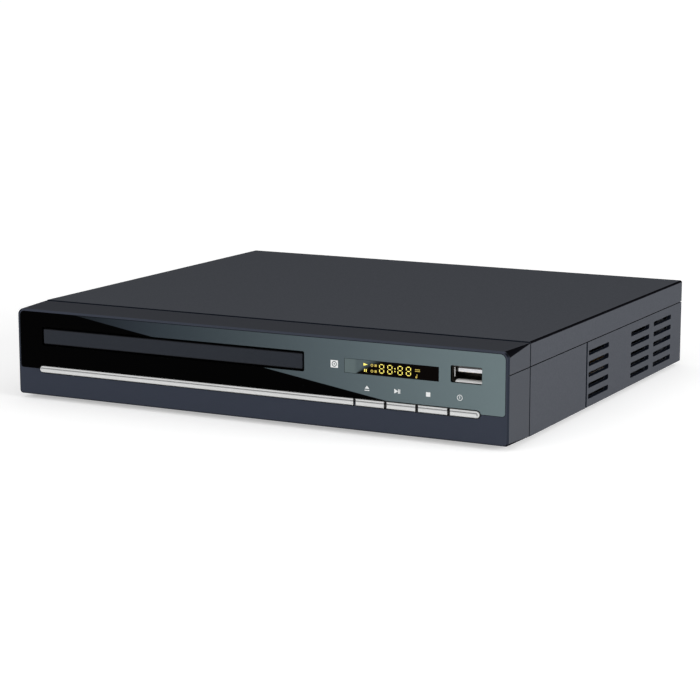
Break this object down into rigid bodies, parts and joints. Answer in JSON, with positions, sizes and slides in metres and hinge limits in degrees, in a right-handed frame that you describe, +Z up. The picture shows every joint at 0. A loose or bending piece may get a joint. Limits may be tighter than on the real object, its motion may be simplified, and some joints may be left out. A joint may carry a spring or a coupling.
{
  "type": "dvd player with tray",
  "caption": "Compact disc player: glossy front window, motorised tray with rack drive and disc mechanism, bright strip with push buttons, vented case and rear sockets.",
  "frame": {"origin": "middle of the case's bounding box at the underside of the feet", "axes": "+Z up, +X to the right seen from the front, +Y from the face to the rear; the tray opens towards -Y"},
  "size_m": [0.236, 0.2178, 0.0409],
  "materials": {
    "shell": "fine-grained moulded plastic",
    "fascia": "fine-grained moulded plastic",
    "gloss_window": "polished, printed from behind",
    "display_window": "polished smoked plastic",
    "bright_trim": "plated plastic",
    "black_moulding": "satin moulded plastic",
    "grey_moulding": "glass-filled plastic",
    "gear_plastic": "natural acetal",
    "plate_steel": "zinc-plated sheet",
    "screw_steel": "black zinc or nickel plated",
    "rear_paint": "fine textured black paint",
    "nickel": "nickel plated",
    "rubber": "moulded rubber",
    "board_green": "solder resist",
    "board_tan": "bare phenolic board",
    "winding_tape": "polyester tape and ferrite",
    "can_sleeve": "printed sleeve left plain",
    "sink": "extruded",
    "brass": "machined",
    "optic": "coated",
    "cable": "flat ribbon"
  },
  "bodies": {
    "case": {"bottom_case": "shell", "top_cover": "shell", "front_bezel": "fascia", "window_panel": "gloss_window", "trim_strip": "bright_trim", "display_lens": "display_window", "display_module": "black_moulding", "front_board": "board_green", "board_switches": "black_moulding", "ir_receiver": "black_moulding", "usb_shell": "plate_steel", "usb_tongue": "black_moulding", "usb_contacts": "brass", "rear_panel": "rear_paint", "rear_screws": "screw_steel", "feet": "rubber", "case_screws": "screw_steel", "loader_chassis": "black_moulding", "chassis_screws": "screw_steel", "loading_belt": "rubber", "loading_motor": "plate_steel", "clamp_bridge": "plate_steel", "main_board": "board_green", "main_chips": "black_moulding", "hdmi_socket": "plate_steel", "scart_socket": "black_moulding", "jack_block": "black_moulding", "jack_barrels": "nickel", "power_board": "board_tan", "transformer": "winding_tape", "capacitors": "can_sleeve", "heat_sink": "sink", "mains_inlet": "black_moulding", "inlet_pins": "nickel", "flat_cable": "cable", "board_screws": "screw_steel"},
    "tray": {"disc_tray": "black_moulding", "tray_door": "fascia"},
    "eject_key": {"eject_button": "bright_trim"},
    "play_key": {"play_button": "bright_trim"},
    "stop_key": {"stop_button": "bright_trim"},
    "power_key": {"power_button": "bright_trim"},
    "rack_drive": {"drive_gear": "gear_plastic"},
    "pulley": {"belt_pulley": "gear_plastic"},
    "motor_shaft": {"motor_pulley": "plate_steel"},
    "clamp": {"clamp_puck": "gear_plastic", "clamp_yoke": "plate_steel"},
    "cam": {"cam_slider": "gear_plastic"},
    "disc_drive": {"drive_frame": "grey_moulding", "spindle_base": "plate_steel", "guide_rods": "screw_steel", "sled_motor": "plate_steel", "frame_grommets": "rubber"},
    "spindle": {"spindle_rotor": "plate_steel", "turntable": "black_moulding"},
    "sled": {"pickup_sled": "grey_moulding", "objective_lens": "optic"},
    "sled_drive": {"sled_gear": "gear_plastic"},
    "sled_shaft": {"sled_pinion": "brass"}
  },
  "joints": [
    {"name": "tray_slide", "type": "slide", "parent": "case", "child": "tray", "axis": [0, -1, 0], "range_m": [0, 0.128]},
    {"name": "eject_press", "type": "slide", "parent": "case", "child": "eject_key", "axis": [0, 1, 0], "range_m": [0, 0.0006], "stiffness_N_per_m": 900, "springref_m": -0.0003},
    {"name": "play_press", "type": "slide", "parent": "case", "child": "play_key", "axis": [0, 1, 0], "range_m": [0, 0.0006], "stiffness_N_per_m": 900, "springref_m": -0.0003},
    {"name": "stop_press", "type": "slide", "parent": "case", "child": "stop_key", "axis": [0, 1, 0], "range_m": [0, 0.0006], "stiffness_N_per_m": 900, "springref_m": -0.0003},
    {"name": "power_press", "type": "slide", "parent": "case", "child": "power_key", "axis": [0, 1, 0], "range_m": [0, 0.0006], "stiffness_N_per_m": 900, "springref_m": -0.0003},
    {"name": "rack_gear_turn", "type": "hinge", "parent": "case", "child": "rack_drive", "pos_m": [0.009, -0.0866, 0.023], "axis": [0, 0, 1], "range_deg": [0, 917.2]},
    {"name": "pulley_turn", "type": "hinge", "parent": "case", "child": "pulley", "pos_m": [0.009, -0.0696, 0.021], "axis": [0, 0, 1], "range_deg": [-2200.7, 0]},
    {"name": "motor_turn", "type": "hinge", "parent": "case", "child": "motor_shaft", "pos_m": [0.009, -0.0416, 0.02], "axis": [0, 0, 1], "range_deg": [-6601, 0]},
    {"name": "drive_tilt", "type": "hinge", "parent": "case", "child": "disc_drive", "pos_m": [-0.0392, 0.0419, 0.014], "axis": [1, 0, 0], "range_deg": [0, 4.2]},
    {"name": "cam_slide", "type": "slide", "parent": "case", "child": "cam", "axis": [-1, 0, 0], "range_m": [0, 0.0141]},
    {"name": "spindle_turn", "type": "hinge", "parent": "disc_drive", "child": "spindle", "pos_m": [-0.0392, -0.0396, 0.022], "axis": [0, 0, 1], "continuous": true},
    {"name": "clamp_turn", "type": "hinge", "parent": "case", "child": "clamp", "pos_m": [-0.0392, -0.0396, 0.035], "axis": [0, 0, 1], "continuous": true},
    {"name": "sled_slide", "type": "slide", "parent": "disc_drive", "child": "sled", "axis": [0, 1, 0], "range_m": [0, 0.034]},
    {"name": "sled_gear_turn", "type": "hinge", "parent": "disc_drive", "child": "sled_drive", "pos_m": [-0.0074, 0.0039, 0.019], "axis": [0, 0, 1], "range_deg": [-406.3, 0]},
    {"name": "sled_motor_turn", "type": "hinge", "parent": "disc_drive", "child": "sled_shaft", "pos_m": [-0.0074, 0.0175, 0.017], "axis": [0, 0, 1], "range_deg": [0, 974.5]}
  ],
  "couplings": [
    {"joint": "rack_gear_turn", "follows": "tray_slide", "rad_per_m": 125},
    {"joint": "pulley_turn", "follows": "tray_slide", "rad_per_m": -300},
    {"joint": "motor_turn", "follows": "tray_slide", "rad_per_m": -900},
    {"joint": "cam_slide", "follows": "drive_tilt", "m_per_rad": 0.19099},
    {"joint": "clamp_turn", "follows": "spindle_turn", "ratio": 1},
    {"joint": "sled_gear_turn", "follows": "sled_slide", "rad_per_m": -208.33},
    {"joint": "sled_motor_turn", "follows": "sled_slide", "rad_per_m": 500}
  ]
}
